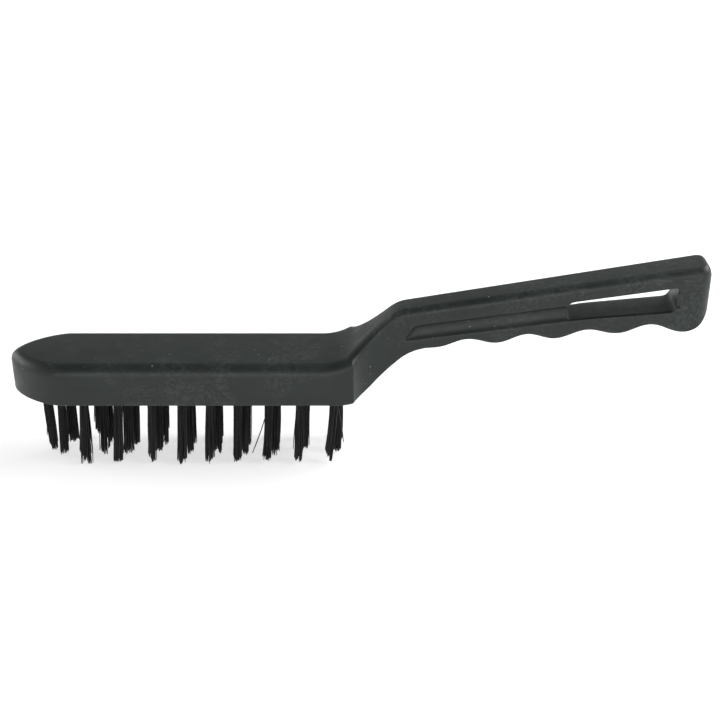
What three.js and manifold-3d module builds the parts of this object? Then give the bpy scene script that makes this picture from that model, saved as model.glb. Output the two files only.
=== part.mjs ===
// Block brush with a cranked one-piece handle and four rows of staple-set bristle tufts.
// Millimetres, +Z up. +X runs from the nose of the head to the end of the handle and the brush is
// symmetrical about Y = 0. The origin is under the middle of the whole brush, on the plane that the
// bristle tips rest on.
import * as THREE from 'three';
import { mergeVertices } from 'three/addons/utils/BufferGeometryUtils.js';
import Module from 'manifold-3d';

const wasm = await Module();
wasm.setup();

// ---------- driving dimensions ----------
// Outlines are drawn from the heel: x = 0 where the head meets the neck, z = 0 on the face that holds
// the bristles.
const HEAD_LENGTH = 131.9;
const HEAD_WIDTH = 32.4;
const HEAD_HEIGHT = 16.46;
const NOSE_LENGTH = 20.8;
const NOSE_POWER = 1.53;
const NECK_LENGTH = 15.5;
const HANDLE_REACH = 132.6;
const HANDLE_WIDTH = 12.4;
const HANDLE_END_WIDTH = 15.8;
const END_CORNER_RADIUS = 5;
const TOP_ROUND_HEAD = 4.5;
const TOP_ROUND_NECK = 4.7;
const TOP_ROUND_HANDLE = 3.15;
const BOTTOM_ROUND = 0.6;

// Side view of neck and handle: bends between straight lines, and slopes in degrees.
const NECK_TOP_SLOPE = 40.9;
const HANDLE_TOP_SLOPE = 9.3;
const NECK_BOTTOM_SLOPE = 43.2;
const HANDLE_BOTTOM_SLOPE = 5;
const TOP_HEEL_BEND = { x: -4.6, radius: 20 };
const TOP_HANDLE_BEND = { x: 16.57, radius: 13 };
const BOTTOM_HEEL_BEND = { x: 1.7, radius: 20 };
const BOTTOM_HANDLE_BEND = { x: 22, radius: 19 };
const END_TOP_DROP = 3;
const END_LOBE_RISE = 10.4;

// Underside of the handle: crests between the four finger grooves, and the depth of the groove that
// follows each crest.
const CRESTS = [
  { x: 31.5, z: 19.97, hollow: 2.45 },
  { x: 54.3, z: 22.05, hollow: 2.65 },
  { x: 76.1, z: 24.07, hollow: 2.5 },
  { x: 99.1, z: 26.45, hollow: 3.35 },
  { x: 123.4, z: 27.2, hollow: 0 },
];

// Groove in each side of the handle, and the hanging slot that goes through from groove to groove.
const GROOVE_TOP_Z = 37.8;
const GROOVE_TOP_SLOPE = 8.7;
const GROOVE_DEPTH = 1.6;
const GROOVE_START = 18.6;
const GROOVE_START_LEAN = 4.4;
const GROOVE_BOTTOM_BEND = { x: 86, radius: 150 };
const GROOVE_BOTTOM_Z = 32.25;
const GROOVE_BOTTOM_SLOPE = 8.3;
const SLOT_TOP_Z = 38.95;
const SLOT_TOP_SLOPE = 9;
const SLOT_BOTTOM_SLOPE = 5.3;
const GROOVE_CORNERS = { lowStart: 1.8, highStart: 1.8, lowEnd: 1.8, highEnd: 1.8 };
const SLOT_CORNERS = { lowStart: 1.8, highStart: 3, lowEnd: 3, highEnd: 1 };
const SLOT_START_LEAN = -0.4;
const SLOT_END_LEAN = -0.4;
const SLOT_START = 80;
const SLOT_END = 120.4;
const RUNOUT_END = 125;
const RUNOUT_DEPTH = 1;
const RUNOUT_MARGIN = 1.8;

// Bristle tufts, in four rows from the -Y side to the +Y side. The two inner rows have one more column
// near the nose, and one tuft stands alone at its tip. Lean is how far a tuft's tip is from its root,
// towards the nose.
const BRISTLE_LENGTH = 29;
const COLUMNS = [
  [-103.5, -90.5, -77.5, -66, -55, -44.5, -32.5, -20.5, -7.5],
  [-113.7, -97.5, -88.2, -75.9, -64, -53, -42.5, -30.5, -18.5, -5.7],
  [-111.7, -97, -86.4, -74.8, -64, -53.2, -42, -30.2, -18.7, -5.9],
  [-102.2, -88.4, -75.4, -65.2, -54.3, -43.1, -31.2, -19.5, -6.4],
];
const ROWS = [
  { y: -10.5, firstColumn: 1, lean: 1.75 },
  { y: -3.5, firstColumn: 0, lean: 1.2 },
  { y: 3.5, firstColumn: 0, lean: 1.2 },
  { y: 10.5, firstColumn: 1, lean: 1.2 },
];
const NOSE_TUFT = { x: -120.1, y: 0, lean: -0.8 };
const HOLE_RADIUS = 1.8;
const HOLE_DEPTH = 9;
const TUFT_ROOT_RADIUS = 1.5;
const TUFT_TIP_RADIUS = 1.65;
const FIT_GAP = 0.3;
const TUFT_SIDES = 12;

const rad = THREE.MathUtils.degToRad;
const lerp = THREE.MathUtils.lerp;

// ---------- materials ----------
const bodyPlastic = new THREE.MeshStandardMaterial({ color: 0x2c312f, roughness: 0.55, metalness: 0 });
const bristleNylon = new THREE.MeshStandardMaterial({ color: 0x141617, roughness: 0.45, metalness: 0 });

// ---------- three.js geometry to manifold-3d and back ----------
function toSolid(geometry) {
  const bare = geometry.clone();
  bare.deleteAttribute('normal');
  bare.deleteAttribute('uv');
  const merged = mergeVertices(bare, 1e-5);
  const mesh = new wasm.Mesh({
    numProp: 3,
    vertProperties: new Float32Array(merged.attributes.position.array),
    triVerts: new Uint32Array(merged.index.array),
  });
  return new wasm.Manifold(mesh);
}

function toGeometry(solid) {
  const mesh = solid.getMesh();
  const geometry = new THREE.BufferGeometry();
  geometry.setAttribute('position', new THREE.BufferAttribute(new Float32Array(mesh.vertProperties), 3));
  geometry.setIndex(new THREE.BufferAttribute(new Uint32Array(mesh.triVerts), 1));
  geometry.computeVertexNormals();
  return geometry;
}

// ---------- side view of the body ----------
// Height at x of two straight lines that would meet at bend.x and height z, with an arc between them.
function bentLine(x, bend, z, slopeBefore, slopeAfter) {
  const before = rad(slopeBefore);
  const after = rad(slopeAfter);
  const side = Math.sign(after - before);
  const tangent = bend.radius * Math.tan(Math.abs(after - before) / 2);
  const arcStart = bend.x - tangent * Math.cos(before);
  const arcEnd = bend.x + tangent * Math.cos(after);
  if (x <= arcStart) return z + (x - bend.x) * Math.tan(before);
  if (x >= arcEnd) return z + (x - bend.x) * Math.tan(after);
  const centreX = arcStart - side * bend.radius * Math.sin(before);
  const centreZ = z - tangent * Math.sin(before) + side * bend.radius * Math.cos(before);
  return centreZ - side * Math.sqrt(bend.radius ** 2 - (x - centreX) ** 2);
}

const neckTopRise = (TOP_HANDLE_BEND.x - TOP_HEEL_BEND.x) * Math.tan(rad(NECK_TOP_SLOPE));
const neckBottomRise = (BOTTOM_HANDLE_BEND.x - BOTTOM_HEEL_BEND.x) * Math.tan(rad(NECK_BOTTOM_SLOPE));

// Top of the body at x, without the rounded end of the handle.
function spineTop(x) {
  const neckMiddle = (TOP_HEEL_BEND.x + TOP_HANDLE_BEND.x) / 2;
  if (x < neckMiddle) return bentLine(x, TOP_HEEL_BEND, HEAD_HEIGHT, 0, NECK_TOP_SLOPE);
  const bendZ = HEAD_HEIGHT + neckTopRise;
  return bentLine(x, TOP_HANDLE_BEND, bendZ, NECK_TOP_SLOPE, HANDLE_TOP_SLOPE);
}

function topZ(x) {
  const along = THREE.MathUtils.clamp(1 - (HANDLE_REACH - x) / END_TOP_DROP, 0, 1);
  return spineTop(x) - END_TOP_DROP * (1 - Math.sqrt(1 - along ** 2));
}

function fingerGrooves(x) {
  const last = CRESTS[CRESTS.length - 1];
  if (x >= last.x) {
    const along = Math.min(1, (x - last.x) / (HANDLE_REACH - last.x));
    return last.z + END_LOBE_RISE * (1 - Math.sqrt(1 - along ** 2));
  }
  const next = CRESTS.findIndex((crest) => crest.x > x);
  const from = CRESTS[next - 1];
  const to = CRESTS[next];
  const part = (x - from.x) / (to.x - from.x);
  const wave = (1 - Math.cos(2 * Math.PI * part)) / 2;
  return lerp(from.z, to.z, part) + from.hollow * wave;
}

function bottomZ(x) {
  const neckMiddle = (BOTTOM_HEEL_BEND.x + BOTTOM_HANDLE_BEND.x) / 2;
  if (x < neckMiddle) return bentLine(x, BOTTOM_HEEL_BEND, 0, 0, NECK_BOTTOM_SLOPE);
  if (x >= CRESTS[0].x) return fingerGrooves(x);
  return bentLine(x, BOTTOM_HANDLE_BEND, neckBottomRise, NECK_BOTTOM_SLOPE, HANDLE_BOTTOM_SLOPE);
}

// ---------- plan view of the body ----------
const HALF = HEAD_WIDTH / 2;
const HANDLE_HALF = HANDLE_WIDTH / 2;
const NARROWING = HALF - HANDLE_HALF;
const NECK_RADIUS = (NECK_LENGTH ** 2 + NARROWING ** 2) / (2 * NARROWING);
// An outline moved inwards by 1 moves the heel's corner by this much towards the nose.
const CORNER_SHIFT = NARROWING / NECK_LENGTH;
const CORNER_REACH = 8;

// Radius of the rounded top edge: largest where the neck starts, smallest along the handle.
function topRound(x) {
  const rise = THREE.MathUtils.smoothstep(x, -CORNER_REACH, 0);
  const fall = THREE.MathUtils.smoothstep(x, 0, NECK_LENGTH);
  return lerp(lerp(TOP_ROUND_HEAD, TOP_ROUND_NECK, rise), TOP_ROUND_HANDLE, fall);
}

function noseOutline(inset) {
  const steps = 18;
  const centre = -HEAD_LENGTH + NOSE_LENGTH;
  const power = 2 / NOSE_POWER;
  return Array.from({ length: steps + 1 }, (unused, i) => {
    const angle = (i / steps) * (Math.PI / 2);
    const x = centre - (NOSE_LENGTH - inset) * Math.cos(angle) ** power;
    return [x, (HALF - inset) * Math.sin(angle) ** power];
  });
}

// Straight side of the head. Close to the heel its stations follow the corner as it moves inwards.
function headSide(insetAt) {
  const stations = [-80, -50, -24, -16, -13, -10.5, -8, -6, -4, -2];
  return stations.map((x) => {
    const nearCorner = Math.max(0, 1 + x / CORNER_REACH);
    return [x - CORNER_SHIFT * insetAt(x) * nearCorner, HALF - insetAt(x)];
  });
}

// Hollow side of the neck: an arc from the heel's corner that ends along the handle.
function neckSide(insetAt) {
  const steps = 12;
  const centreY = HANDLE_HALF + NECK_RADIUS;
  return Array.from({ length: steps + 1 }, (unused, i) => {
    const inset = insetAt((i / steps) * NECK_LENGTH);
    const x = lerp(-CORNER_SHIFT * inset, NECK_LENGTH, i / steps);
    const radius = NECK_RADIUS + inset;
    return [x, centreY - Math.sqrt(radius ** 2 - (NECK_LENGTH - x) ** 2)];
  });
}

// Half the width of the handle, which widens evenly from the neck to its end.
function handleHalf(x) {
  const cornerStart = HANDLE_REACH - END_CORNER_RADIUS;
  const part = THREE.MathUtils.clamp((x - NECK_LENGTH) / (cornerStart - NECK_LENGTH), 0, 1);
  return lerp(HANDLE_HALF, HANDLE_END_WIDTH / 2, part);
}

function handleSide(insetAt) {
  const sideSteps = 54;
  const cornerSteps = 6;
  const cornerStart = HANDLE_REACH - END_CORNER_RADIUS;
  const points = [];
  for (let i = 1; i <= sideSteps; i++) {
    const x = lerp(NECK_LENGTH, cornerStart, i / sideSteps);
    points.push([x, handleHalf(x) - insetAt(x)]);
  }
  for (let i = 1; i <= cornerSteps; i++) {
    const angle = (i / cornerSteps) * (Math.PI / 2);
    const radius = END_CORNER_RADIUS - insetAt(HANDLE_REACH);
    const y = handleHalf(HANDLE_REACH) - END_CORNER_RADIUS + radius * Math.cos(angle);
    points.push([cornerStart + radius * Math.sin(angle), y]);
  }
  return points;
}

// One closed ring of the body: half of the plan outline and its mirror image, each point at the
// height that belongs to its x.
function ring(insetAt, heightAt) {
  const half = [...noseOutline(insetAt(-HEAD_LENGTH)), ...headSide(insetAt), ...neckSide(insetAt)];
  half.push(...handleSide(insetAt));
  const mirrored = half.slice(1).reverse().map(([x, y]) => [x, -y]);
  return half.concat(mirrored).map(([x, y]) => [x, y, heightAt(x)]);
}

// ---------- body ----------
// Rings from the flat of the underside, over the rounded edges and the side wall, to the flat of the top.
function bodyRings() {
  const rings = [];
  const bottomSteps = 3;
  for (let i = bottomSteps; i >= 0; i--) {
    const angle = (i / bottomSteps) * (Math.PI / 2);
    const inset = BOTTOM_ROUND * (1 - Math.cos(angle));
    const lift = BOTTOM_ROUND * (1 - Math.sin(angle));
    rings.push(ring(() => inset, (x) => bottomZ(x) + lift));
  }
  const topSteps = 5;
  for (let i = 0; i <= topSteps; i++) {
    const angle = (i / topSteps) * (Math.PI / 2);
    const insetAt = (x) => topRound(x) * (1 - Math.cos(angle));
    rings.push(ring(insetAt, (x) => topZ(x) - topRound(x) * (1 - Math.sin(angle))));
  }
  return rings;
}

// Triangles across the flat inside a ring, from side to side.
function capFaces(first, count) {
  const faces = [first, first + 1, first + count - 1];
  for (let i = 1; i < (count - 1) / 2; i++) {
    const near = first + i;
    const far = first + count - i;
    faces.push(near, near + 1, far - 1);
    faces.push(near, far - 1, far);
  }
  return faces;
}

function bodyBlank() {
  const rings = bodyRings();
  const count = rings[0].length;
  const faces = [];
  for (let r = 0; r + 1 < rings.length; r++) {
    for (let j = 0; j < count; j++) {
      const here = r * count + j;
      const next = r * count + ((j + 1) % count);
      faces.push(here, next + count, next);
      faces.push(here, here + count, next + count);
    }
  }
  faces.push(...capFaces(0, count));
  faces.push(...capFaces((rings.length - 1) * count, count).reverse());
  const geometry = new THREE.BufferGeometry();
  geometry.setAttribute('position', new THREE.Float32BufferAttribute(rings.flat(2), 3));
  geometry.setIndex(faces);
  return toSolid(geometry);
}

// ---------- side grooves and slot ----------
function grooveTop(x) {
  return GROOVE_TOP_Z + (x - SLOT_START) * Math.tan(rad(GROOVE_TOP_SLOPE));
}

function slotTop(x) {
  return SLOT_TOP_Z + (x - SLOT_START) * Math.tan(rad(SLOT_TOP_SLOPE));
}

function grooveBottom(x) {
  return bentLine(x, GROOVE_BOTTOM_BEND, GROOVE_BOTTOM_Z, GROOVE_BOTTOM_SLOPE, SLOT_BOTTOM_SLOPE);
}

// Outline of the groove or slot in side view between two ends, under the line topAt. Each end leans:
// its top is further along x.
function grooveOutline(start, startLean, end, endLean, topAt, corners) {
  const shape = new THREE.Shape();
  const steps = 8;
  const lowStart = [start, grooveBottom(start)];
  const highStart = [start + startLean, topAt(start + startLean)];
  const lowEnd = [end, grooveBottom(end)];
  const highEnd = [end + endLean, topAt(end + endLean)];
  const { lowStart: cornerLowStart, highStart: cornerHighStart } = corners;
  const { lowEnd: cornerLowEnd, highEnd: cornerHighEnd } = corners;
  // A point on an end of the outline, one corner's length away from one of its ends.
  const onEnd = (from, to, corner) => {
    const share = corner / Math.abs(to[1] - from[1]);
    return [lerp(from[0], to[0], share), lerp(from[1], to[1], share)];
  };
  const bottomStart = start + cornerLowStart;
  const bottomEnd = end - cornerLowEnd;
  const topStart = highStart[0] + cornerHighStart;
  const topEnd = highEnd[0] - cornerHighEnd;
  shape.moveTo(bottomStart, grooveBottom(bottomStart));
  for (let i = 1; i <= steps; i++) {
    const x = lerp(bottomStart, bottomEnd, i / steps);
    shape.lineTo(x, grooveBottom(x));
  }
  shape.quadraticCurveTo(...lowEnd, ...onEnd(lowEnd, highEnd, cornerLowEnd));
  shape.lineTo(...onEnd(highEnd, lowEnd, cornerHighEnd));
  shape.quadraticCurveTo(...highEnd, topEnd, topAt(topEnd));
  shape.lineTo(topStart, topAt(topStart));
  shape.quadraticCurveTo(...highStart, ...onEnd(highStart, lowStart, cornerHighStart));
  shape.lineTo(...onEnd(lowStart, highStart, cornerLowStart));
  shape.quadraticCurveTo(...lowStart, bottomStart, grooveBottom(bottomStart));
  return shape;
}

// A side-view outline made solid from the middle plane to the given depth on one side (-1 or 1).
function sideSolid(shape, side, depth) {
  const geometry = new THREE.ExtrudeGeometry(shape, { depth, bevelEnabled: false, curveSegments: 5 });
  geometry.rotateX(Math.PI / 2);
  geometry.translate(0, side > 0 ? depth : 0, 0);
  return geometry;
}

// The two side grooves. Their floors keep the same depth below the sides of the widening handle.
function cutGrooves(body) {
  const grooveEnd = (SLOT_START + SLOT_END) / 2;
  const lean = GROOVE_START_LEAN;
  const outline = grooveOutline(GROOVE_START, lean, grooveEnd, 0, grooveTop, GROOVE_CORNERS);
  let result = body;
  for (const side of [-1, 1]) {
    const geometry = sideSolid(outline, side, HANDLE_WIDTH);
    const position = geometry.attributes.position;
    for (let i = 0; i < position.count; i++) {
      const isFloor = Math.abs(position.getY(i)) < HANDLE_WIDTH / 2;
      if (isFloor) position.setY(i, side * (handleHalf(position.getX(i)) - GROOVE_DEPTH));
    }
    result = result.subtract(toSolid(geometry));
  }
  return result;
}

function cutSlot(body) {
  const leans = [SLOT_START_LEAN, SLOT_END_LEAN];
  const outline = grooveOutline(SLOT_START, leans[0], SLOT_END, leans[1], slotTop, SLOT_CORNERS);
  const front = toSolid(sideSolid(outline, -1, HANDLE_END_WIDTH));
  const back = toSolid(sideSolid(outline, 1, HANDLE_END_WIDTH));
  return body.subtract(front).subtract(back);
}

// Shallow run-out beyond the slot: a wedge in plan, deepest at the slot, tilted along the groove.
function cutRunouts(body) {
  const start = SLOT_END - 3;
  const height = slotTop(SLOT_END) - grooveBottom(SLOT_END) - 2 * RUNOUT_MARGIN;
  const surface = handleHalf(SLOT_END);
  const outer = surface + 1;
  let result = body;
  for (const side of [-1, 1]) {
    const wedge = new THREE.Shape();
    wedge.moveTo(start, side * outer);
    wedge.lineTo(start, side * (surface - RUNOUT_DEPTH));
    wedge.lineTo(SLOT_END, side * (surface - RUNOUT_DEPTH));
    wedge.lineTo(RUNOUT_END, side * handleHalf(HANDLE_REACH));
    wedge.lineTo(RUNOUT_END, side * outer);
    const geometry = new THREE.ExtrudeGeometry(wedge, { depth: height, bevelEnabled: false });
    geometry.translate(0, 0, grooveBottom(SLOT_END) + RUNOUT_MARGIN);
    result = result.subtract(toSolid(geometry));
  }
  return result;
}

// ---------- tufts ----------
// Every tuft's name and the place of its hole.
function tuftPlaces() {
  const places = [{ name: 'tuft_nose', ...NOSE_TUFT }];
  ROWS.forEach((row, rowIndex) => {
    COLUMNS[rowIndex].forEach((x, index) => {
      const name = `tuft_row${rowIndex + 1}_col${index + row.firstColumn}`;
      places.push({ name, x, y: row.y, lean: row.lean });
    });
  });
  return places;
}

function holeSolid(place) {
  const overrun = 1;
  const geometry = new THREE.CylinderGeometry(HOLE_RADIUS, HOLE_RADIUS, HOLE_DEPTH + overrun, TUFT_SIDES);
  geometry.rotateX(Math.PI / 2);
  geometry.translate(place.x, place.y, (HOLE_DEPTH - overrun) / 2);
  return toSolid(geometry);
}

// A tuft is a round bundle: upright in its hole, then spreading and leaning.
function tuftGeometry(lean) {
  const profile = [
    new THREE.Vector2(0, HOLE_DEPTH - FIT_GAP),
    new THREE.Vector2(TUFT_ROOT_RADIUS, HOLE_DEPTH - FIT_GAP),
    new THREE.Vector2(TUFT_ROOT_RADIUS, 0),
    new THREE.Vector2(TUFT_TIP_RADIUS, -BRISTLE_LENGTH),
    new THREE.Vector2(0, -BRISTLE_LENGTH),
  ];
  const geometry = new THREE.LatheGeometry(profile.reverse(), TUFT_SIDES);
  geometry.rotateX(Math.PI / 2);
  const position = geometry.attributes.position;
  for (let i = 0; i < position.count; i++) {
    const below = Math.min(0, position.getZ(i));
    position.setX(i, position.getX(i) + (lean * below) / BRISTLE_LENGTH);
  }
  geometry.computeVertexNormals();
  return geometry;
}

// ---------- assembly ----------
function bodyGeometry(places) {
  let solid = bodyBlank();
  solid = cutGrooves(solid);
  solid = cutSlot(solid);
  solid = cutRunouts(solid);
  for (const place of places) solid = solid.subtract(holeSolid(place));
  return toGeometry(solid);
}

function named(name, geometry, material) {
  const mesh = new THREE.Mesh(geometry, material);
  mesh.name = name;
  return mesh;
}

const places = tuftPlaces();
const brush = new THREE.Group();
brush.position.set((HEAD_LENGTH - HANDLE_REACH) / 2, 0, BRISTLE_LENGTH);
brush.add(named('body', bodyGeometry(places), bodyPlastic));
for (const place of places) {
  const tuft = named(place.name, tuftGeometry(place.lean), bristleNylon);
  tuft.position.set(place.x, place.y, 0);
  brush.add(tuft);
}

export default brush;
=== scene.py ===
import math
import random

import bpy
import numpy as np
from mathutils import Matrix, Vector


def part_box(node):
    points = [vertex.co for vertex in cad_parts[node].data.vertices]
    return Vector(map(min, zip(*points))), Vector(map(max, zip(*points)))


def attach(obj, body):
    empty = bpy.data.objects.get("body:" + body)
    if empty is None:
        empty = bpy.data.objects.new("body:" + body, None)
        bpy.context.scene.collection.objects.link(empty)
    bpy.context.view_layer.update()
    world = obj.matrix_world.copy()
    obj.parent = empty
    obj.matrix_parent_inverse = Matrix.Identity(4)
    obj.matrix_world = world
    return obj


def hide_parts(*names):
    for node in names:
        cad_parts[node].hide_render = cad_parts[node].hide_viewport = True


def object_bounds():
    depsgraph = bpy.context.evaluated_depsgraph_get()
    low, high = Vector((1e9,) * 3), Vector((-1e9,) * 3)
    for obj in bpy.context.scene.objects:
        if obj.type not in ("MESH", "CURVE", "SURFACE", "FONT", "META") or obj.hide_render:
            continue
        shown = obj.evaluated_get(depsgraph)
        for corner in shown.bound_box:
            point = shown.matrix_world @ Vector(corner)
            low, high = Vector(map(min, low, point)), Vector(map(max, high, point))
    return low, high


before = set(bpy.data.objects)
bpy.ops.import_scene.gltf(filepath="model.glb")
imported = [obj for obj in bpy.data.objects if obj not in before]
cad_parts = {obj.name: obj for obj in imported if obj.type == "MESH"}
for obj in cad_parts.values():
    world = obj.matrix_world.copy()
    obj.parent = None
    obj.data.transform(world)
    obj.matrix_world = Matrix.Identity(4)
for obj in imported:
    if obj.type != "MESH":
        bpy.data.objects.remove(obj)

cad_lo, cad_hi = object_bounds()
body_lo, body_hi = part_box("body")

# ---------- driving dimensions, in millimetres from the heel ----------
# x = 0 where the head meets the neck, z = 0 on the face that holds the bristles. The frame gives the
# overall length, the width of the head and the length of the bristles.
MM = 0.001
HEAD_WIDTH = (body_hi.y - body_lo.y) / MM
BRISTLE_LENGTH = body_lo.z / MM
HEAD_LENGTH = 131.9
HEAD_HEIGHT = 16.46
HANDLE_REACH = (body_hi.x - body_lo.x) / MM - HEAD_LENGTH
ORIGIN = Vector((body_lo.x + HEAD_LENGTH * MM, 0, body_lo.z))
BODY_TOP = (body_hi[2] - ORIGIN[2]) / MM
# Seen from above: the nose is half of a superellipse, and the neck narrows to the handle.
NOSE_LENGTH = 20.8
NOSE_POWER = 1.53
NECK_LENGTH = 15.5
HANDLE_WIDTH = 12.4
HANDLE_END_WIDTH = 15.8
END_CORNER_RADIUS = 5
# Radius of the rounding along the upper edge, at the head, neck and handle, and along the lower edge.
TOP_ROUND_HEAD = 4.5
TOP_ROUND_NECK = 4.7
TOP_ROUND_HANDLE = 3.15
BOTTOM_ROUND = 0.6

# Side view. Slopes are in degrees. A bend is the x where its two lines would meet, and its radius.
NECK_TOP_SLOPE = 40.9
HANDLE_TOP_SLOPE = 9.3
NECK_BOTTOM_SLOPE = 43.2
HANDLE_BOTTOM_SLOPE = 5
TOP_HEEL_BEND = (-4.6, 20)
TOP_HANDLE_BEND = (16.57, 13)
BOTTOM_HEEL_BEND = (1.7, 20)
BOTTOM_HANDLE_BEND = (22, 19)
END_TOP_DROP = 3
END_LOBE_RISE = 10.4
# The crests between the finger grooves, and how deep the groove after each crest is.
CRESTS_X = (31.5, 54.3, 76.1, 99.1, 123.4)
CRESTS_Z = (19.97, 22.05, 24.07, 26.45, 27.2)
FINGER_GROOVE_DEPTHS = (2.45, 2.65, 2.5, 3.35)

# Groove in each side of the handle, and the slot that goes right through at its far half. The height
# of each upper line is given at SLOT_START.
GROOVE_TOP_Z = 37.8
GROOVE_TOP_SLOPE = 8.7
GROOVE_START = 18.6
GROOVE_START_LEAN = 4.4
GROOVE_END_LEAN = -1
GROOVE_BOTTOM_BEND = (86, 150)
GROOVE_BOTTOM_Z = 32.25
GROOVE_BOTTOM_SLOPE = 8.3
SLOT_TOP_Z = 38.95
SLOT_TOP_SLOPE = 9
SLOT_BOTTOM_SLOPE = 5.3
SLOT_START = 80
SLOT_END = 120.4
SLOT_END_LEANS = -0.4
# How far the groove goes on into the slot, so that no end of it shows.
GROOVE_OVERLAP = 6
# Width of the handle between the troughs, where the slot's walls are plain.
SLOT_INNER_WIDTH = 11
# Corner sizes: low start, high start, low end, high end.
GROOVE_CORNERS = (1.8, 1.8, 1.8, 1.8)
SLOT_CORNERS = (1.8, 3, 3, 1)
# Radius of the eased edge around the slot.
SLOT_LIP = 0.25
# The angles at which the trough's wall meets the side of the handle, in degrees, and the rounding there.
GROOVE_TOP_ANGLE = 75
GROOVE_BOTTOM_ANGLE = 58
GROOVE_TOP_EASE = 0.3
GROOVE_BOTTOM_EASE = 0.65
# Shallow run-out that fades from the slot's far end towards the end of the handle.
RUNOUT_END = 125
RUNOUT_DEPTH = 1
RUNOUT_MARGIN = 1.8

# Blind hole of one tuft.
HOLE_RADIUS = 1.8
HOLE_DEPTH = 9
COUNTERSINK = 0.25
DRILL_POINT = 0.8


# ---------- small helpers ----------
def smoothstep(x, low, high):
    t = np.clip((x - low) / (high - low), 0, 1)
    return t * t * (3 - 2 * t)


def mix(a, b, t):
    return a + (b - a) * t


def quadratic(start, control, end, steps):
    """Points on the curve from start to end that is drawn towards control."""
    t = np.linspace(0, 1, steps)[:, None]
    return (1 - t) ** 2 * np.array(start) + 2 * t * (1 - t) * np.array(control) + t**2 * np.array(end)


def bent_line(x, bend, z, slope_before, slope_after):
    """Height at x of two straight lines that would meet at bend, with an arc between them."""
    bend_x, radius = bend
    before, after = math.radians(slope_before), math.radians(slope_after)
    side = math.copysign(1, after - before)
    tangent = radius * math.tan(abs(after - before) / 2)
    arc_start = bend_x - tangent * math.cos(before)
    arc_end = bend_x + tangent * math.cos(after)
    centre_x = arc_start - side * radius * math.sin(before)
    centre_z = z - tangent * math.sin(before) + side * radius * math.cos(before)
    arc = centre_z - side * np.sqrt(np.maximum(radius**2 - (x - centre_x) ** 2, 0))
    line_before = z + (x - bend_x) * math.tan(before)
    line_after = z + (x - bend_x) * math.tan(after)
    return np.where(x <= arc_start, line_before, np.where(x >= arc_end, line_after, arc))


# ---------- side view of the body ----------
def spine_top(x):
    bend_z = HEAD_HEIGHT + (TOP_HANDLE_BEND[0] - TOP_HEEL_BEND[0]) * math.tan(math.radians(NECK_TOP_SLOPE))
    heel = bent_line(x, TOP_HEEL_BEND, HEAD_HEIGHT, 0, NECK_TOP_SLOPE)
    handle = bent_line(x, TOP_HANDLE_BEND, bend_z, NECK_TOP_SLOPE, HANDLE_TOP_SLOPE)
    return np.where(x < (TOP_HEEL_BEND[0] + TOP_HANDLE_BEND[0]) / 2, heel, handle)


def top_z(x):
    along = np.clip(1 - (HANDLE_REACH - x) / END_TOP_DROP, 0, 1)
    return spine_top(x) - END_TOP_DROP * (1 - np.sqrt(1 - along**2))


def finger_grooves(x):
    crests = np.array(CRESTS_X)
    index = np.clip(np.searchsorted(crests, x, side="right") - 1, 0, len(crests) - 2)
    part = (x - crests[index]) / (crests[index + 1] - crests[index])
    depth = np.array(FINGER_GROOVE_DEPTHS)[index]
    wave = np.interp(x, CRESTS_X, CRESTS_Z) + depth * (1 - np.cos(2 * np.pi * part)) / 2
    along = np.clip((x - crests[-1]) / (HANDLE_REACH - crests[-1]), 0, 1)
    lobe = CRESTS_Z[-1] + END_LOBE_RISE * (1 - np.sqrt(1 - along**2))
    return np.where(x >= crests[-1], lobe, wave)


def bottom_z(x):
    rise = (BOTTOM_HANDLE_BEND[0] - BOTTOM_HEEL_BEND[0]) * math.tan(math.radians(NECK_BOTTOM_SLOPE))
    heel = bent_line(x, BOTTOM_HEEL_BEND, 0, 0, NECK_BOTTOM_SLOPE)
    handle = bent_line(x, BOTTOM_HANDLE_BEND, rise, NECK_BOTTOM_SLOPE, HANDLE_BOTTOM_SLOPE)
    neck = np.where(x < (BOTTOM_HEEL_BEND[0] + BOTTOM_HANDLE_BEND[0]) / 2, heel, handle)
    return np.where(x >= CRESTS_X[0], finger_grooves(np.maximum(x, CRESTS_X[0])), neck)


def groove_top(x):
    return GROOVE_TOP_Z + (x - SLOT_START) * math.tan(math.radians(GROOVE_TOP_SLOPE))


def slot_top(x):
    return SLOT_TOP_Z + (x - SLOT_START) * math.tan(math.radians(SLOT_TOP_SLOPE))


def groove_bottom(x):
    return bent_line(x, GROOVE_BOTTOM_BEND, GROOVE_BOTTOM_Z, GROOVE_BOTTOM_SLOPE, SLOT_BOTTOM_SLOPE)


# ---------- plan view of the body ----------
HALF = HEAD_WIDTH / 2
HANDLE_HALF = HANDLE_WIDTH / 2
NARROWING = HALF - HANDLE_HALF
NECK_RADIUS = (NECK_LENGTH**2 + NARROWING**2) / (2 * NARROWING)
CORNER_SHIFT = NARROWING / NECK_LENGTH
CORNER_REACH = 8
HEEL_ROUND = 0.45


def top_round(x):
    rise = smoothstep(x, -CORNER_REACH, 0)
    fall = smoothstep(x, 0, NECK_LENGTH)
    return mix(mix(TOP_ROUND_HEAD, TOP_ROUND_NECK, rise), TOP_ROUND_HANDLE, fall)


def handle_half(x):
    corner_start = HANDLE_REACH - END_CORNER_RADIUS
    part = np.clip((x - NECK_LENGTH) / (corner_start - NECK_LENGTH), 0, 1)
    return mix(HANDLE_HALF, HANDLE_END_WIDTH / 2, part)


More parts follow.
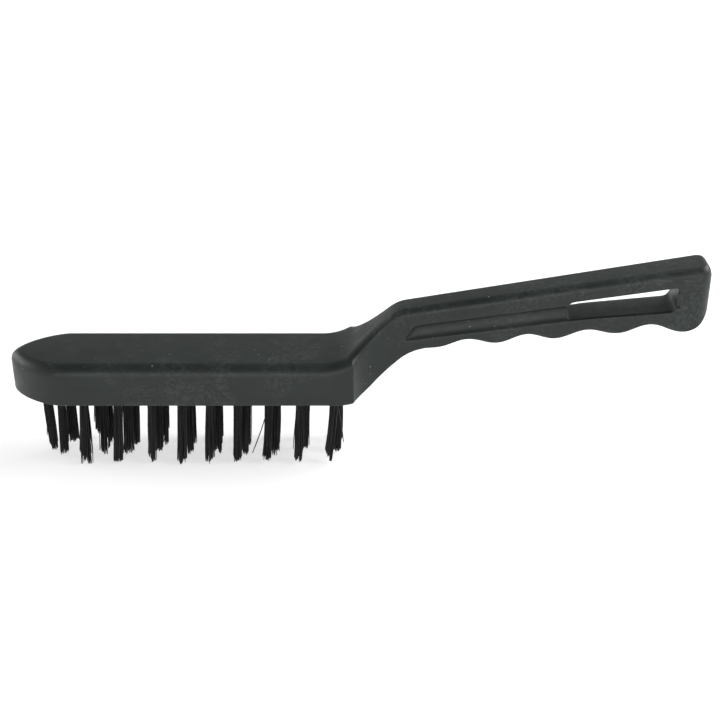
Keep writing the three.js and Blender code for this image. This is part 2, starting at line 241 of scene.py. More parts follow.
def half_outline(inset_share, round_at):
    """Half of the plan outline from nose to handle end, moved inwards by inset_share of round_at(x)."""
    def inset(x):
        return inset_share * round_at(x)

    angle = np.linspace(0, np.pi / 2, 61)
    nose_centre = NOSE_LENGTH - HEAD_LENGTH
    nose_inset = inset(np.array(-HEAD_LENGTH))
    nose_x = nose_centre - (NOSE_LENGTH - nose_inset) * np.cos(angle) ** (2 / NOSE_POWER)
    nose_y = (HALF - nose_inset) * np.sin(angle) ** (2 / NOSE_POWER)

    side = np.concatenate([np.linspace(nose_centre, -16, 32)[1:-1], np.linspace(-16, -HEEL_ROUND, 24)])
    side_x = side - CORNER_SHIFT * inset(side) * np.maximum(0, 1 + side / CORNER_REACH)
    side_y = HALF - inset(side)

    part = np.linspace(HEEL_ROUND * 0.4 / NECK_LENGTH, 1, 33)
    neck_inset = inset(part * NECK_LENGTH)
    neck_x = mix(-CORNER_SHIFT * neck_inset, NECK_LENGTH, part)
    reach = (NECK_RADIUS + neck_inset) ** 2 - (NECK_LENGTH - neck_x) ** 2
    neck_y = HANDLE_HALF + NECK_RADIUS - np.sqrt(reach)

    heel_inset = inset(np.array(0.0))
    heel = (-CORNER_SHIFT * heel_inset, HALF - heel_inset)
    heel_curve = quadratic((side_x[-1], side_y[-1]), heel, (neck_x[0], neck_y[0]), 8)[1:-1]

    corner_start = HANDLE_REACH - END_CORNER_RADIUS
    handle_x = np.concatenate([
        np.linspace(NECK_LENGTH, SLOT_START - 4, 115)[1:],
        np.linspace(SLOT_START - 4, SLOT_START + 3, 32)[1:],
        np.linspace(SLOT_START + 3, SLOT_END - 4, 66)[1:],
        np.linspace(SLOT_END - 4, corner_start, 56)[1:],
    ])
    handle_y = handle_half(handle_x) - inset(handle_x)

    turn = np.linspace(0, np.pi / 2, 15)[1:]
    radius = END_CORNER_RADIUS - inset(np.array(HANDLE_REACH))
    corner_x = corner_start + radius * np.sin(turn)
    corner_y = handle_half(HANDLE_REACH) - END_CORNER_RADIUS + radius * np.cos(turn)

    x = np.concatenate([nose_x, side_x, heel_curve[:, 0], neck_x, handle_x, corner_x])
    y = np.concatenate([nose_y, side_y, heel_curve[:, 1], neck_y, handle_y, corner_y])
    return x, y


# ---------- grooves, slot lip and run-out, as a depth below the side of the handle ----------
def groove_outline(start, start_lean, end, end_lean, top_at, corners, steps=48):
    """Closed outline of the groove or slot in side view, under the line top_at.

    Each end leans by so many millimetres: its top is further along x than its foot.
    """
    def low(x):
        return np.array((x, float(groove_bottom(np.array(x)))))

    def high(x):
        return np.array((x, float(top_at(np.array(x)))))

    def on_end(near, far, corner):
        """The point of an end line that is one corner's length from near."""
        return near + (far - near) * corner / abs(far[1] - near[1])

    low_start, high_start = low(start), high(start + start_lean)
    low_end, high_end = low(end), high(end + end_lean)
    low_s, high_s, low_e, high_e = corners
    bottom_x = np.linspace(start + low_s, end - low_e, steps)
    bottom = np.stack([bottom_x, groove_bottom(bottom_x)], 1)
    points = np.concatenate([
        bottom,
        quadratic(low(end - low_e), low_end, on_end(low_end, high_end, low_e), 9),
        quadratic(on_end(high_end, low_end, high_e), high_end, high(high_end[0] - high_e), 9),
        quadratic(high(high_start[0] + high_s), high_start, on_end(high_start, low_start, high_s), 9),
        quadratic(on_end(low_start, high_start, low_s), low_start, low(start + low_s), 9),
    ])
    keep = np.linalg.norm(points - np.roll(points, 1, axis=0), axis=1) > 1e-6
    return points[keep]


def signed_distance(points, outline):
    """Distance of each side-view point from a closed outline, negative inside it."""
    start, end = outline, np.roll(outline, -1, axis=0)
    edge = end - start
    length = (edge**2).sum(1)
    best = np.full(len(points), np.inf)
    crossings = np.zeros(len(points), bool)
    for a, b, along, squared in zip(start, end, edge, length):
        t = np.clip(((points - a) @ along) / squared, 0, 1)
        gap = points - a - t[:, None] * along
        best = np.minimum(best, (gap**2).sum(1))
        if a[1] != b[1]:
            spans = (a[1] > points[:, 1]) != (b[1] > points[:, 1])
            cross_x = a[0] + (points[:, 1] - a[1]) * along[0] / along[1]
            crossings ^= spans & (points[:, 0] < cross_x)
    return np.where(crossings, -1, 1) * np.sqrt(best)


SLOT_OUTLINE = groove_outline(
    SLOT_START, SLOT_END_LEANS, SLOT_END, SLOT_END_LEANS, slot_top, SLOT_CORNERS
)
GROOVE_OUTLINE = groove_outline(
    GROOVE_START, GROOVE_START_LEAN, SLOT_START + GROOVE_OVERLAP, GROOVE_END_LEAN, groove_top, GROOVE_CORNERS
)


def groove_depth(x, z):
    """Depth of the groove: a circular trough whose edges are eased where they meet the handle's side."""
    inside = -signed_distance(np.stack([x, z], 1), GROOVE_OUTLINE)
    half = (groove_top(x) - groove_bottom(x)) / 2
    upper = smoothstep((z - groove_bottom(x)) / (2 * half), 0.25, 0.85)
    edge = np.radians(mix(GROOVE_BOTTOM_ANGLE, GROOVE_TOP_ANGLE, upper))
    from_middle = np.clip(1 - inside / half, 0, 1)
    arc = half * (np.sqrt(1 / np.sin(edge) ** 2 - from_middle**2) - 1 / np.tan(edge))
    trough = np.where(inside > 0, arc, inside * np.tan(edge))
    ease = mix(GROOVE_BOTTOM_EASE, GROOVE_TOP_EASE, upper)
    return (trough + np.sqrt(trough**2 + ease**2)) / 2


def side_depth(x, z):
    """How far the side wall of the handle lies below its plain surface."""
    depth = np.zeros(len(x))
    fade_start = GROOVE_START - 3
    near = (x > fade_start) & (x < RUNOUT_END + 2)
    x, z = x[near], z[near]
    side = groove_depth(x, z) * smoothstep(x, fade_start, GROOVE_START)
    slot = signed_distance(np.stack([x, z], 1), SLOT_OUTLINE)
    share = np.clip(1 - slot / SLOT_LIP, 0, 1)
    side += SLOT_LIP * (1 - np.sqrt(1 - share**2))
    middle = (slot_top(x) + groove_bottom(x)) / 2
    reach = (slot_top(x) - groove_bottom(x)) / 2 - RUNOUT_MARGIN
    band = 1 - smoothstep(np.abs(z - middle), reach - 0.5, reach + 0.7)
    runout = RUNOUT_DEPTH * np.clip((RUNOUT_END - x) / (RUNOUT_END - SLOT_END), 0, 1.2)
    side = np.maximum(side, runout * band * (x > SLOT_END - 3))
    depth[near] = side
    return depth


# ---------- body mesh ----------
# Rows of points around each edge of the groove: how many, and how far they reach from the edge
# outside and inside the groove. The next plain row comes a little further on.
EDGE_ROWS = 21
REACH_OUTSIDE = 0.75
REACH_INSIDE = 1.25
NEXT_OUTSIDE = 0.8
NEXT_INSIDE = 1.45


def wall_rows(x, low, high):
    """Heights of the rows of points up the side wall. They follow the groove's edges along the handle."""
    on_handle = smoothstep(x, 6, GROOVE_START)
    edge_low = mix(mix(low, high, 0.3), groove_bottom(x), on_handle)
    high_edge = mix(groove_top(x), slot_top(x), smoothstep(x, SLOT_START - 2.2, SLOT_START - 1))
    edge_high = mix(mix(low, high, 0.7), high_edge, on_handle)
    at_end = smoothstep(x, RUNOUT_END, HANDLE_REACH)
    edge_low = mix(edge_low, mix(low, high, 0.3), at_end)
    edge_high = mix(edge_high, mix(low, high, 0.7), at_end)
    inner_low, inner_high = edge_low + NEXT_INSIDE, edge_high - NEXT_INSIDE
    rows = [mix(low, edge_low - NEXT_OUTSIDE, t) for t in np.linspace(0, 1, 6)[1:]]
    rows += [edge_low + offset for offset in np.linspace(-REACH_OUTSIDE, REACH_INSIDE, EDGE_ROWS)]
    rows += [mix(inner_low, inner_high, t) for t in np.linspace(0, 1, 9)]
    rows += [edge_high + offset for offset in np.linspace(-REACH_INSIDE, REACH_OUTSIDE, EDGE_ROWS)]
    rows += [mix(edge_high + NEXT_OUTSIDE, high, t) for t in np.linspace(0, 1, 6)[:-1]]
    return rows


def body_rings():
    """Rings of points, (x, y, z) arrays of one half, from the underside up to the top face."""
    rings = []
    for angle in np.linspace(np.pi / 2, 0, 8):
        share = 1 - math.cos(angle)
        x, y = half_outline(share, lambda x: np.full(np.shape(x), float(BOTTOM_ROUND)))
        rings.append((x, y, bottom_z(x) + BOTTOM_ROUND * (1 - math.sin(angle))))
    x, y = half_outline(0, top_round)
    low, high = bottom_z(x) + BOTTOM_ROUND, top_z(x) - top_round(x)
    for z in wall_rows(x, low, high):
        rings.append((x, y - side_depth(x, z), z))
    for angle in np.linspace(0, np.pi / 2, 14):
        share = 1 - math.cos(angle)
        x, y = half_outline(share, top_round)
        rings.append((x, y, top_z(x) - top_round(x) * (1 - math.sin(angle))))
    return rings


def cap_faces(first, count):
    """Faces that close a ring of count points, from its nose point along both sides to its end."""
    faces = [(first, first + 1, first + count - 1)]
    for i in range(1, (count - 1) // 2):
        faces.append((first + i, first + i + 1, first + count - i - 1, first + count - i))
    return faces


def new_mesh_object(name, vertices, faces, material=None):
    mesh = bpy.data.meshes.new(name)
    mesh.from_pydata([tuple(v) for v in vertices], [], faces)
    mesh.update()
    piece = bpy.data.objects.new(name, mesh)
    bpy.context.scene.collection.objects.link(piece)
    if material:
        mesh.materials.append(material)
    return piece


def to_frame(points):
    """Points in millimetres from the heel, as metres in the row's frame."""
    return np.asarray(points) * MM + np.array(ORIGIN)


def body_blank():
    """The moulding without its slot and holes."""
    vertices = []
    rings = body_rings()
    for x, y, z in rings:
        half = np.stack([x, y, z], 1)
        half[:, 2] = np.minimum(half[:, 2], BODY_TOP)
        mirrored = half[:0:-1] * np.array([1, -1, 1])
        vertices.append(np.concatenate([half, mirrored]))
    count = len(vertices[0])
    faces = []
    for r in range(len(rings) - 1):
        for j in range(count):
            here = r * count + j
            after = r * count + (j + 1) % count
            faces.append((here, here + count, after + count, after))
    faces += cap_faces(0, count)
    faces += [face[::-1] for face in cap_faces((len(rings) - 1) * count, count)]
    return new_mesh_object("brush_body", to_frame(np.concatenate(vertices)), faces)


def slot_cutter():
    """The slot's outline as a solid through the handle: (vertices, faces) in millimetres."""
    count = len(SLOT_OUTLINE)
    inner = SLOT_INNER_WIDTH / 2
    stations = (-HANDLE_END_WIDTH, -inner, -inner / 3, inner / 3, inner, HANDLE_END_WIDTH)
    vertices = [(x, y, z) for y in stations for x, z in SLOT_OUTLINE]
    last = len(vertices) - count
    faces = [tuple(range(count)), tuple(range(len(vertices) - 1, last - 1, -1))]
    for ring in range(0, last, count):
        for i in range(count):
            here, after = ring + i, ring + (i + 1) % count
            faces.append((here, here + count, after + count, after))
    return vertices, faces


def hole_cutter(x, y):
    """One hole for a tuft, with a small countersink at its mouth and a drilled point."""
    sides = 40
    mouth = HOLE_RADIUS + COUNTERSINK
    profile = [(mouth, -1), (mouth, 0), (HOLE_RADIUS, COUNTERSINK)]
    profile += [(HOLE_RADIUS, HOLE_DEPTH - DRILL_POINT), (0.15, HOLE_DEPTH)]
    vertices = []
    for radius, z in profile:
        for k in range(sides):
            angle = 2 * math.pi * k / sides
            vertices.append((x + radius * math.cos(angle), y + radius * math.sin(angle), z))
    faces = [tuple(reversed(range(sides)))]
    for r in range(len(profile) - 1):
        for k in range(sides):
            a, b = r * sides + k, r * sides + (k + 1) % sides
            faces.append((a, b, b + sides, a + sides))
    faces.append(tuple(range(len(vertices) - sides, len(vertices))))
    return vertices, faces


def joined(parts):
    vertices, faces = [], []
    for part_vertices, part_faces in parts:
        first = len(vertices)
        vertices.extend(part_vertices)
        faces.extend(tuple(i + first for i in face) for face in part_faces)
    return vertices, faces


def cut(piece, vertices, faces):
    """Cuts the solid of these vertices and faces out of a piece."""
    cutter = new_mesh_object("cutter", to_frame(vertices), faces)
    modifier = piece.modifiers.new("cut", "BOOLEAN")
    modifier.operation = "DIFFERENCE"
    modifier.solver = "MANIFOLD"
    modifier.object = cutter
    shown = piece.evaluated_get(bpy.context.evaluated_depsgraph_get())
    mesh = bpy.data.meshes.new_from_object(shown)
    piece.modifiers.clear()
    piece.data = mesh
    bpy.data.objects.remove(cutter)


def smooth_by_angle(piece, degrees):
    piece.data.shade_smooth()
    piece.data.set_sharp_from_angle(angle=math.radians(degrees))


def store_edge_wear(piece):
    """Stores how sharply each point of the surface is rounded outwards, from 0 to 1."""
    mesh = piece.data
    places = np.empty(len(mesh.vertices) * 3)
    mesh.vertices.foreach_get("co", places)
    places = places.reshape(-1, 3)
    normals = np.array([normal.vector for normal in mesh.vertex_normals])
    ends = np.empty(len(mesh.edges) * 2, int)
    mesh.edges.foreach_get("vertices", ends)
    a, b = ends.reshape(-1, 2).T
    along = places[b] - places[a]
    bend = ((normals[b] - normals[a]) * along).sum(1) / np.maximum((along**2).sum(1), 1e-12)
    sharpest = np.zeros(len(places))
    np.maximum.at(sharpest, a, bend)
    np.maximum.at(sharpest, b, bend)
    wear = smoothstep(sharpest, 250, 1600)
    layer = mesh.attributes.new("edge_wear", "FLOAT", "POINT")
    layer.data.foreach_set("value", wear.astype(np.float32))


# ---------- where the tufts are ----------
# The nodes of the frame say which tufts there are, and their boxes say where each one stands.
def tuft_axis(name):
    """(x, y, lean) of a tuft in millimetres from the heel: its root, and how far its tip is off it."""
    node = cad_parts[name]
    points = np.array([node.matrix_world @ vertex.co for vertex in node.data.vertices])
    root = points[points[:, 2] > body_lo.z + 2 * MM]
    tip = points[points[:, 2] < cad_lo.z + MM]
    root_middle = (root.min(0) + root.max(0)) / 2
    tip_middle = (tip.min(0) + tip.max(0)) / 2
    x, y = (root_middle[0] - ORIGIN.x) / MM, root_middle[1] / MM
    return x, y, (tip_middle[0] - root_middle[0]) / MM


# ---------- tufts ----------
# A strand is folded over the anchor, and both its legs hang out of the hole. The strands lie in
# LAYERS on both sides of the anchor, each STRAND_STEP from the next.
STRAND_RADIUS = 0.16
STRAY_RADIUS = 0.21
STRAND_SPLAY = 0.17
STRAY_SPLAY = 0.75
STRAY_CHANCE = 0.09
LONGEST_CUT = 6.5
STRAND_SIDES = 6
LAYERS = (0.26, 0.61, 0.96, 1.3)
TIP_SECTORS = 6
STRAND_STEP = 0.345
BUNDLE_RADIUS = 1.56
ANCHOR_TURN = math.radians(24)
ANCHOR_TOP = 6.6
ANCHOR_HEIGHT = 1.7
ANCHOR_HALF_LENGTH = 1.79
ANCHOR_THICKNESS = 0.34
# How much less some tufts of the front row lean towards the nose, in millimetres at their tips.
FRONT_LEANS = {
    "tuft_row1_col1": 0.3, "tuft_row1_col3": 0.2, "tuft_row1_col4": 0.2, "tuft_row1_col5": 0.15,
    "tuft_row1_col6": 0.45, "tuft_row1_col7": -0.35, "tuft_row1_col8": -0.15, "tuft_row1_col9": -0.65,
}
# Tufts near the nose that splay out more than the others, as a share of their width at the tips.
SPLAYED = {
    "tuft_row2_col0": 0.25, "tuft_row3_col0": 0.55, "tuft_row4_col1": 0.5, "tuft_row1_col1": 0.55,
    "tuft_row2_col1": 0.2, "tuft_row1_col2": 0.25, "tuft_row2_col2": 0.2, "tuft_row4_col2": 0.35,
}
# Strands that stand well away from their tuft: (start, end) in millimetres from the heel.
STRAYS = {
    "tuft_row1_col7": [((-32.8, -10.6, -3.4), (-39.6, -11.4, -23.8))],
    "tuft_row1_col9": [((-6.6, -10.6, -0.5), (-4.0, -10.9, -19.0))],
}


def turned(u, v, angle):
    return u * math.cos(angle) - v * math.sin(angle), u * math.sin(angle) + v * math.cos(angle)


def tube(points, radius, sides, twist):
    """A closed tube along points: (vertices, faces). Its ends are slightly rounded."""
    points = np.asarray(points)
    tangents = np.gradient(points, axis=0)
    tangents /= np.linalg.norm(tangents, axis=1)[:, None]
    side = np.array([1.0, 0.3, 0.0])
    vertices, faces = [], []
    for i, (centre, tangent) in enumerate(zip(points, tangents)):
        side = side - tangent * side.dot(tangent)
        side /= np.linalg.norm(side)
        other = np.cross(tangent, side)
        at_end = i in (0, len(points) - 1)
        for k in range(sides):
            angle = twist + 2 * math.pi * k / sides
            reach = radius * (0.72 if at_end else 1)
            vertices.append(centre + reach * (math.cos(angle) * side + math.sin(angle) * other))
    for r in range(len(points) - 1):
        for k in range(sides):
            a, b = r * sides + k, r * sides + (k + 1) % sides
            faces.append((a, b, b + sides, a + sides))
    faces.append(tuple(reversed(range(sides))))
    faces.append(tuple(range(len(vertices) - sides, len(vertices))))
    return vertices, faces


def leg(u, v, lean, rng, splay, length, mood):
    """Points of one leg of a strand, from its tip up to its mouth and into the hole."""
    clump_x, clump_y, pinch = mood["clump_x"], mood["clump_y"], mood["pinch"]
    spread = mood["spread"] + 0.1 * rng.random()
    tip_x = mix(u * spread, clump_x, pinch) + rng.gauss(0, splay) + lean
    tip_y = mix(v * spread, clump_y, pinch) + rng.gauss(0, splay)
    bow_x, bow_y = rng.gauss(0, 0.2), rng.gauss(0, 0.2)
    peak = rng.uniform(0.85, 1.35)
    points = []
    for t in (0.0, 0.04, 0.2, 0.38, 0.56, 0.74, 0.9, 1.0):
        down = 1 - t
        bow = math.sin(math.pi * down**peak)
        x = mix(u, tip_x, down**1.25) + bow_x * bow
        y = mix(v, tip_y, down**1.25) + bow_y * bow
        points.append((x, y, -length * down))
    points.append((u, v, 2.6))
    points.append((u, v, ANCHOR_TOP - 1.4))
    return points


def tuft_mood(rng):
    """What sets one tuft apart from the next: how long, how tidy and how bent it is."""
    slant = rng.uniform(0.5, 1.6) * rng.choice((-1, 1))
    return {
        "short": rng.uniform(0.0, 0.5),
        "slant_x": slant,
        "slant_y": rng.gauss(0, 0.3),
        "lean": rng.gauss(0, 0.15),
        "clump_x": rng.gauss(0, 0.5),
        "clump_y": rng.gauss(0, 0.4),
        "pinch": rng.uniform(0.0, 0.22),
        "spread": rng.uniform(1.02, 1.2),
        "steps": [rng.choice((0.0, 0.0, 0.7, 1.6, 3.0)) for _ in range(TIP_SECTORS)],
    }


def cut_back(u, v, rng, mood):
    """How much shorter than the longest one a leg is, in millimetres."""
    slanted = mood["slant_x"] * u + mood["slant_y"] * v
    sector = int((math.atan2(v, u) / (2 * math.pi) + 0.5) * TIP_SECTORS) % TIP_SECTORS
    back = mood["short"] + max(0.0, slanted) + mood["steps"][sector] + abs(rng.gauss(0, 0.6))
    if rng.random() < 0.15:
        back += rng.uniform(0.5, 3.0)
    return min(back, LONGEST_CUT)


def bundle(x, y, lean, rng, mood):
    """All strands of one tuft: a list of point lists, in millimetres from the heel."""
    strands = []
    for layer, offset in enumerate(LAYERS):
        reach = math.sqrt(BUNDLE_RADIUS**2 - offset**2)
        count = int(2 * reach / STRAND_STEP) + 1
        for k in range(count):
            along = (k - (count - 1) / 2) * STRAND_STEP
            legs = []
            for side in (-1, 1):
                u, v = turned(along, side * offset, ANCHOR_TURN)
                stray = rng.random() < STRAY_CHANCE and layer > 1
                splay = STRAY_SPLAY if stray else STRAND_SPLAY
                length = BRISTLE_LENGTH - cut_back(u, v, rng, mood)
                if stray:
                    length -= rng.uniform(0.5, 5.0)
                own_lean = (lean + mood["lean"]) * length / BRISTLE_LENGTH
                legs.append(leg(u, v, own_lean, rng, splay, length, mood))
            fold_z = ANCHOR_TOP + 0.2 + layer * 0.34
            near = turned(along, -offset * 0.75, ANCHOR_TURN)
            middle = turned(along, 0, ANCHOR_TURN)
            far = turned(along, offset * 0.75, ANCHOR_TURN)
            shoulder = fold_z - 0.12 * (1 + layer)
            fold = [(*near, shoulder), (*middle, fold_z), (*far, shoulder)]
            points = legs[0] + fold + legs[1][::-1]
            strands.append([(px + x, py + y, pz) for px, py, pz in points])
    return strands


def store_point_values(mesh, name, values):
    layer = mesh.attributes.new(name, "FLOAT", "POINT")
    layer.data.foreach_set("value", np.asarray(values, np.float32))


def make_tuft(name, x, y, lean, material, strays=()):
    """One tuft as a mesh object of separate strands, each with its own shade."""
    rng = random.Random("bristles " + name)
    mood = tuft_mood(rng)
    mood["lean"] += FRONT_LEANS.get(name, 0)
    mood["spread"] += SPLAYED.get(name, 0)
    strands = bundle(x, y, lean, rng, mood)
    for start, end in strays:
        strands.append([mixed_point(start, end, t) for t in np.linspace(0, 1, 7)])
    parts, shades = [], []
    for index, points in enumerate(strands):
        radius = STRAND_RADIUS if index < len(strands) - len(strays) else STRAY_RADIUS
        vertices, faces = tube(points, radius, STRAND_SIDES, rng.random())
        parts.append((vertices, faces))
        shades += [rng.random()] * len(vertices)
    vertices, faces = joined(parts)
    piece_name = name.replace("tuft", "bristles")
    piece = new_mesh_object(piece_name, to_frame(vertices), faces, material)
    store_point_values(piece.data, "strand_shade", shades)
    smooth_by_angle(piece, 60)
    return piece


def mixed_point(start, end, t):
    """Point at share t of the way from start to end, on a slightly bowed line."""
    bow = 0.35 * math.sin(math.pi * t)
    return tuple(mix(a, b, t) + (bow if axis == 0 else 0) for axis, (a, b) in enumerate(zip(start, end)))


def make_anchor(name, x, y, material):
    """The flat wire that holds a tuft's folded strands down in their hole, with eased edges."""
    ease = 0.07
    half_t, half_h = ANCHOR_THICKNESS / 2, ANCHOR_HEIGHT / 2
    section = [
        (-half_t + ease, -half_h), (half_t - ease, -half_h),
        (half_t, -half_h + ease), (half_t, half_h - ease),
        (half_t - ease, half_h), (-half_t + ease, half_h),
        (-half_t, half_h - ease), (-half_t, -half_h + ease),
    ]
    stations = [(-ANCHOR_HALF_LENGTH, 0.8), (-ANCHOR_HALF_LENGTH + 0.12, 1)]
    stations += [(ANCHOR_HALF_LENGTH - 0.12, 1), (ANCHOR_HALF_LENGTH, 0.8)]
    vertices = []
    for along, size in stations:
        for across, up in section:
            u, v = turned(along, across * size, ANCHOR_TURN)
            vertices.append((x + u, y + v, ANCHOR_TOP - half_h + up * size))
    count = len(section)
    faces = [tuple(reversed(range(count)))]
    for r in range(len(stations) - 1):
        for k in range(count):
            a, b = r * count + k, r * count + (k + 1) % count
            faces.append((a, b, b + count, a + count))
    faces.append(tuple(range(len(vertices) - count, len(vertices))))
    piece = new_mesh_object(name, to_frame(vertices), faces, material)
    smooth_by_angle(piece, 30)
    return piece


# ---------- materials ----------
FLOOR_GLOW = 0.6


class Nodes:
    """A material's node tree, with short ways to add the nodes that it needs."""

    def __init__(self, name):
        self.material = bpy.data.materials.new(name)
        self.material.use_nodes = True
        self.tree = self.material.node_tree
        self.shader = self.tree.nodes["Principled BSDF"]
        self.place = self.tree.nodes.new("ShaderNodeTexCoord").outputs["Object"]

    def add(self, kind, inputs=(), **settings):
        node = self.tree.nodes.new(kind)
        for key, value in settings.items():
            setattr(node, key, value)
        for key, value in dict(inputs).items():
            self.set(node.inputs[key], value)
        return node

    def set(self, socket, value):
        if isinstance(value, bpy.types.NodeSocket):
            self.tree.links.new(value, socket)
        else:
            socket.default_value = value

    def stretched(self, scale, turn=(0, 0, 0)):
        node = self.add("ShaderNodeMapping", {"Vector": self.place, "Scale": scale, "Rotation": turn})
        return node.outputs["Vector"]

    def noise(self, size, detail=3, place=None, roughness=0.55):
        """Noise whose spots are about size metres across, from 0 to 1."""
        settings = {"Scale": 1 / size, "Detail": detail, "Roughness": roughness}
        settings["Vector"] = place or self.place
        return self.add("ShaderNodeTexNoise", settings).outputs["Fac"]

    def cells(self, size, feature, place=None):
        settings = {"Vector": place or self.place, "Scale": 1 / size}
        return self.add("ShaderNodeTexVoronoi", settings, feature=feature)

    def between(self, value, low, high, to_low=0.0, to_high=1.0):
        inputs = {"Value": value, "From Min": low, "From Max": high, "To Min": to_low, "To Max": to_high}
        return self.add("ShaderNodeMapRange", inputs, interpolation_type="SMOOTHSTEP").outputs["Result"]

    def math(self, operation, a, b=0.0):
        node = self.add("ShaderNodeMath", operation=operation, use_clamp=False)
        self.set(node.inputs[0], a)
        self.set(node.inputs[1], b)
        return node.outputs[0]

    def blend(self, share, a, b):
        node = self.add("ShaderNodeMix", data_type="RGBA")
        self.set(node.inputs["Factor"], share)
        self.set(node.inputs["A"], a)
        self.set(node.inputs["B"], b)
        return node.outputs["Result"]

    def stored(self, name):
        return self.add("ShaderNodeAttribute", attribute_name=name).outputs["Fac"]

    def bump(self, height, depth, strength=1.0, under=None):
        inputs = {"Height": height, "Distance": depth, "Strength": strength}
        if under:
            inputs["Normal"] = under
        return self.add("ShaderNodeBump", inputs).outputs["Normal"]


def plastic_material():
    """Black moulded plastic: cloudy colour, patches of painted sheen (lighter colour standing in for uneven
    gloss), rubbed edges, scratches and dust specks.
    """
    n = Nodes("moulded_black_plastic")
    cloudy = n.noise(0.02, detail=4)
    fine = n.noise(0.0004, detail=2, roughness=0.6)
    orange_peel = n.noise(0.0022, detail=2)
    wear = n.stored("edge_wear")
    worn = n.math("MULTIPLY", wear, n.between(n.noise(0.003, detail=4), 0.42, 0.68))

    dark = (0.0030, 0.0060, 0.0048, 1)
    light = (0.0065, 0.0110, 0.0090, 1)
    rubbed = (0.042, 0.047, 0.044, 1)
    painted_sheen = (0.030, 0.036, 0.033, 1)
    dust = (0.20, 0.20, 0.195, 1)
    base = n.blend(n.between(cloudy, 0.3, 0.7), dark, light)
    base = n.blend(n.math("MULTIPLY", fine, 0.25), base, light)
    base = n.blend(n.math("MULTIPLY", worn, 0.5), base, rubbed)
    # Painted sheen: lighter patches in the base colour that stand in for the uneven gloss of the moulding,
    # not a colour of the plastic.
    sheen_patches = n.between(n.noise(0.03, detail=3), 0.44, 0.62)
    sheen_mottle = n.between(n.noise(0.0014, detail=4, roughness=0.7), 0.42, 0.62)
    base = n.blend(n.math("MULTIPLY", n.math("MULTIPLY", sheen_patches, sheen_mottle), 0.55), base, painted_sheen)

    scratches = scratch_mask(n, (28, 420, 420), (0, 0.05, 0.35))
    more = scratch_mask(n, (36, 520, 520), (0, -0.04, -0.5))
    both = n.math("MAXIMUM", scratches, more)
    base = n.blend(n.math("MULTIPLY", both, 0.5), base, rubbed)
    specks = n.cells(0.0042, "F1")
    dot = n.between(specks.outputs["Distance"], 0.04, 0.085, 1.0, 0.0)
    chosen = n.between(specks.outputs["Color"], 0.56, 0.62)
    speck = n.math("MULTIPLY", dot, chosen)
    base = n.blend(n.math("MULTIPLY", speck, 0.75), base, dust)
    n.set(n.shader.inputs["Base Color"], base)

    rough = n.between(n.noise(0.006, detail=4), 0.3, 0.7, 0.42, 0.52)
    rough = n.math("ADD", rough, n.math("MULTIPLY", speck, 0.2))
    rough = n.math("SUBTRACT", rough, n.math("MULTIPLY", worn, 0.08))
    n.set(n.shader.inputs["Roughness"], rough)
    n.shader.inputs["IOR"].default_value = 1.42

    normal = n.bump(fine, 0.00002, 0.7)
    normal = n.bump(orange_peel, 0.00006, 0.5, under=normal)
    normal = n.bump(n.math("MULTIPLY", both, -1.0), 0.00003, 0.6, under=normal)
    n.set(n.shader.inputs["Normal"], normal)
    return n.material


def scratch_mask(n, scale, turn):
    """Thin, broken lines along the brush, as handling leaves on plastic."""
    place = n.stretched(scale, turn)
    lines = n.cells(1.0, "DISTANCE_TO_EDGE", place)
    thin = n.between(lines.outputs["Distance"], 0.004, 0.02, 1.0, 0.0)
    where = n.between(n.noise(0.011, detail=3), 0.56, 0.66)
    return n.math("MULTIPLY", thin, where)


def bristle_material():
    """Drawn nylon, with a different shade for each strand."""
    n = Nodes("black_nylon_bristle")
    shade = n.stored("strand_shade")
    along = n.stretched((6000, 6000, 900))
    drawn = n.noise(1.0, detail=2, place=along)
    dark = (0.0014, 0.0018, 0.0020, 1)
    grey = (0.0130, 0.0138, 0.0140, 1)
    base = n.blend(n.between(shade, 0.0, 1.0), dark, grey)
    base = n.blend(n.math("MULTIPLY", drawn, 0.3), base, grey)
    n.set(n.shader.inputs["Base Color"], base)
    n.set(n.shader.inputs["Roughness"], n.between(drawn, 0.3, 0.7, 0.36, 0.5))
    n.set(n.shader.inputs["Normal"], n.bump(drawn, 0.00001, 0.5))
    n.shader.inputs["IOR"].default_value = 1.5
    n.shader.inputs["Specular IOR Level"].default_value = 0.2
    return n.material


def steel_material():
    """Drawn wire, dull in blotches."""
    n = Nodes("staple_wire_steel")
    drawn = n.noise(1.0, detail=3, place=n.stretched((900, 9000, 9000)))
    blotch = n.noise(0.0012, detail=3)
    bright = (0.55, 0.54, 0.52, 1)
    dull = (0.30, 0.29, 0.28, 1)
    base = n.blend(n.between(blotch, 0.35, 0.7), bright, dull)
    base = n.blend(n.math("MULTIPLY", drawn, 0.35), base, dull)
    n.set(n.shader.inputs["Base Color"], base)
    n.shader.inputs["Metallic"].default_value = 1.0
    n.set(n.shader.inputs["Roughness"], n.between(drawn, 0.25, 0.75, 0.28, 0.48))
    n.set(n.shader.inputs["Normal"], n.bump(drawn, 0.00001, 0.6))
    return n.material


def floor_material():
    n = Nodes("pale_floor")
    base = n.blend(n.noise(0.4, detail=2), (0.49, 0.49, 0.49, 1), (0.51, 0.51, 0.51, 1))
    n.set(n.shader.inputs["Base Color"], base)
    n.shader.inputs["Roughness"].default_value = 0.9
    n.shader.inputs["Specular IOR Level"].default_value = 0.1
    n.shader.inputs["Emission Color"].default_value = (1, 1, 1, 1)
    n.shader.inputs["Emission Strength"].default_value = FLOOR_GLOW
    return n.material


# ---------- build the brush ----------
tufts = {name: tuft_axis(name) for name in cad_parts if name.startswith("tuft_")}

body = body_blank()
cut(body, *joined([slot_cutter()] + [hole_cutter(x, y) for x, y, lean in tufts.values()]))
smooth_by_angle(body, 34)
store_edge_wear(body)
body.data.materials.clear()
body.data.materials.append(plastic_material())
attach(body, "root")
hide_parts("body")

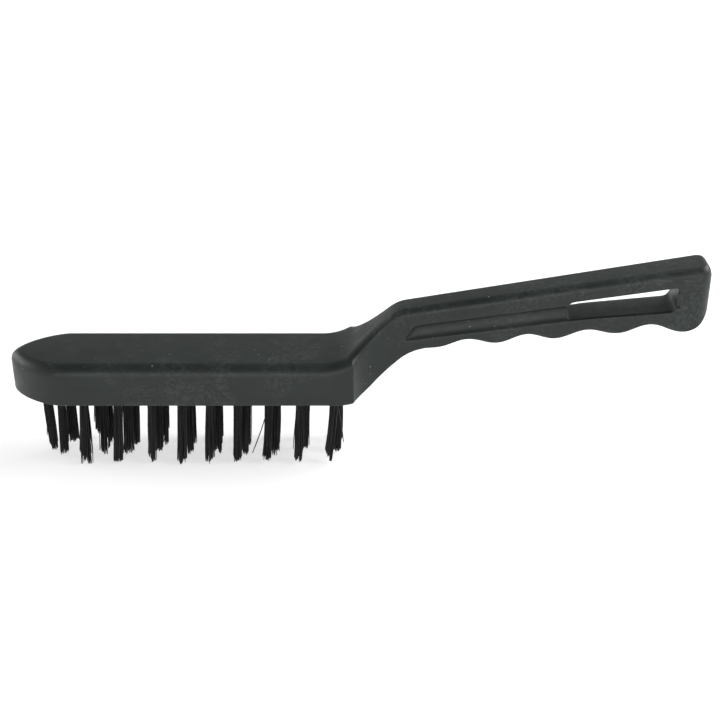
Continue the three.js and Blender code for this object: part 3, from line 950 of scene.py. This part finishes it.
nylon = bristle_material()
steel = steel_material()
for name, (x, y, lean) in tufts.items():
    tuft = make_tuft(name, x, y, lean, nylon, STRAYS.get(name, ()))
    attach(tuft, "root")
    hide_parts(name)
    anchor = make_anchor(name.replace("tuft", "anchor"), x, y, steel)
    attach(anchor, "root")

# ---------- floor, light and camera ----------
# Places and sizes are in metres, and the power of a light is in watts.
HORIZON_LIGHT = 0.73
OVERHEAD_LIGHT = 0.15
CAMERA_ELEVATION = math.radians(28)
CAMERA_DISTANCE = 0.5018
CAMERA_TARGET = Vector((0.0021, 0, 0.0403))


def make_floor():
    """A plain square floor under the tips of the bristles."""
    half, steps = 4.0, 9
    ticks = np.linspace(-half, half, steps)
    vertices = [(x, y, 0.0) for y in ticks for x in ticks]
    faces = []
    for j in range(steps - 1):
        for i in range(steps - 1):
            a = j * steps + i
            faces.append((a, a + 1, a + steps + 1, a + steps))
    floor = new_mesh_object("floor", vertices, faces, floor_material())


def softbox(name, place, target, size, power):
    """A rectangular light at place that faces target."""
    light = bpy.data.lights.new(name, "AREA")
    light.shape = "RECTANGLE"
    light.size, light.size_y = size
    light.energy = power
    lamp = bpy.data.objects.new(name, light)
    lamp.location = place
    aim = Vector(target) - Vector(place)
    lamp.rotation_euler = aim.to_track_quat("-Z", "Y").to_euler()
    bpy.context.scene.collection.objects.link(lamp)


def studio_world():
    """Soft light from all around: bright near the horizon, dim overhead."""
    world = bpy.data.worlds.new("studio")
    bpy.context.scene.world = world
    world.use_nodes = True
    tree = world.node_tree
    place = tree.nodes.new("ShaderNodeTexCoord").outputs["Generated"]
    split = tree.nodes.new("ShaderNodeSeparateXYZ")
    tree.links.new(place, split.inputs[0])
    ramp = tree.nodes.new("ShaderNodeMapRange")
    tree.links.new(split.outputs["Z"], ramp.inputs["Value"])
    ramp.inputs["To Min"].default_value = HORIZON_LIGHT
    ramp.inputs["To Max"].default_value = OVERHEAD_LIGHT
    background = tree.nodes["Background"]
    background.inputs["Color"].default_value = (1, 1, 1, 1)
    tree.links.new(ramp.outputs["Result"], background.inputs["Strength"])


make_floor()
softbox("light_front", (0, -2.2, 0.55), (0, 0, 0.06), (2.4, 0.5), 20)
softbox("light_left", (-1.6, 0.5, 0.4), (0, 0, 0.05), (1.2, 0.7), 13)
softbox("light_right", (1.1, 0.2, 0.9), (0.3, 0, 0), (1.6, 1.2), 34)
studio_world()
bpy.context.scene.view_settings.view_transform = "Standard"

camera_data = bpy.data.cameras.new("camera")
camera_data.lens = 65
camera_data.sensor_width = 36
camera = bpy.data.objects.new("camera", camera_data)
back = Vector((0, -math.cos(CAMERA_ELEVATION), math.sin(CAMERA_ELEVATION)))
camera.location = CAMERA_TARGET + CAMERA_DISTANCE * back
camera.rotation_euler = (math.radians(90) - CAMERA_ELEVATION, 0, 0)
bpy.context.scene.collection.objects.link(camera)
bpy.context.scene.camera = camera
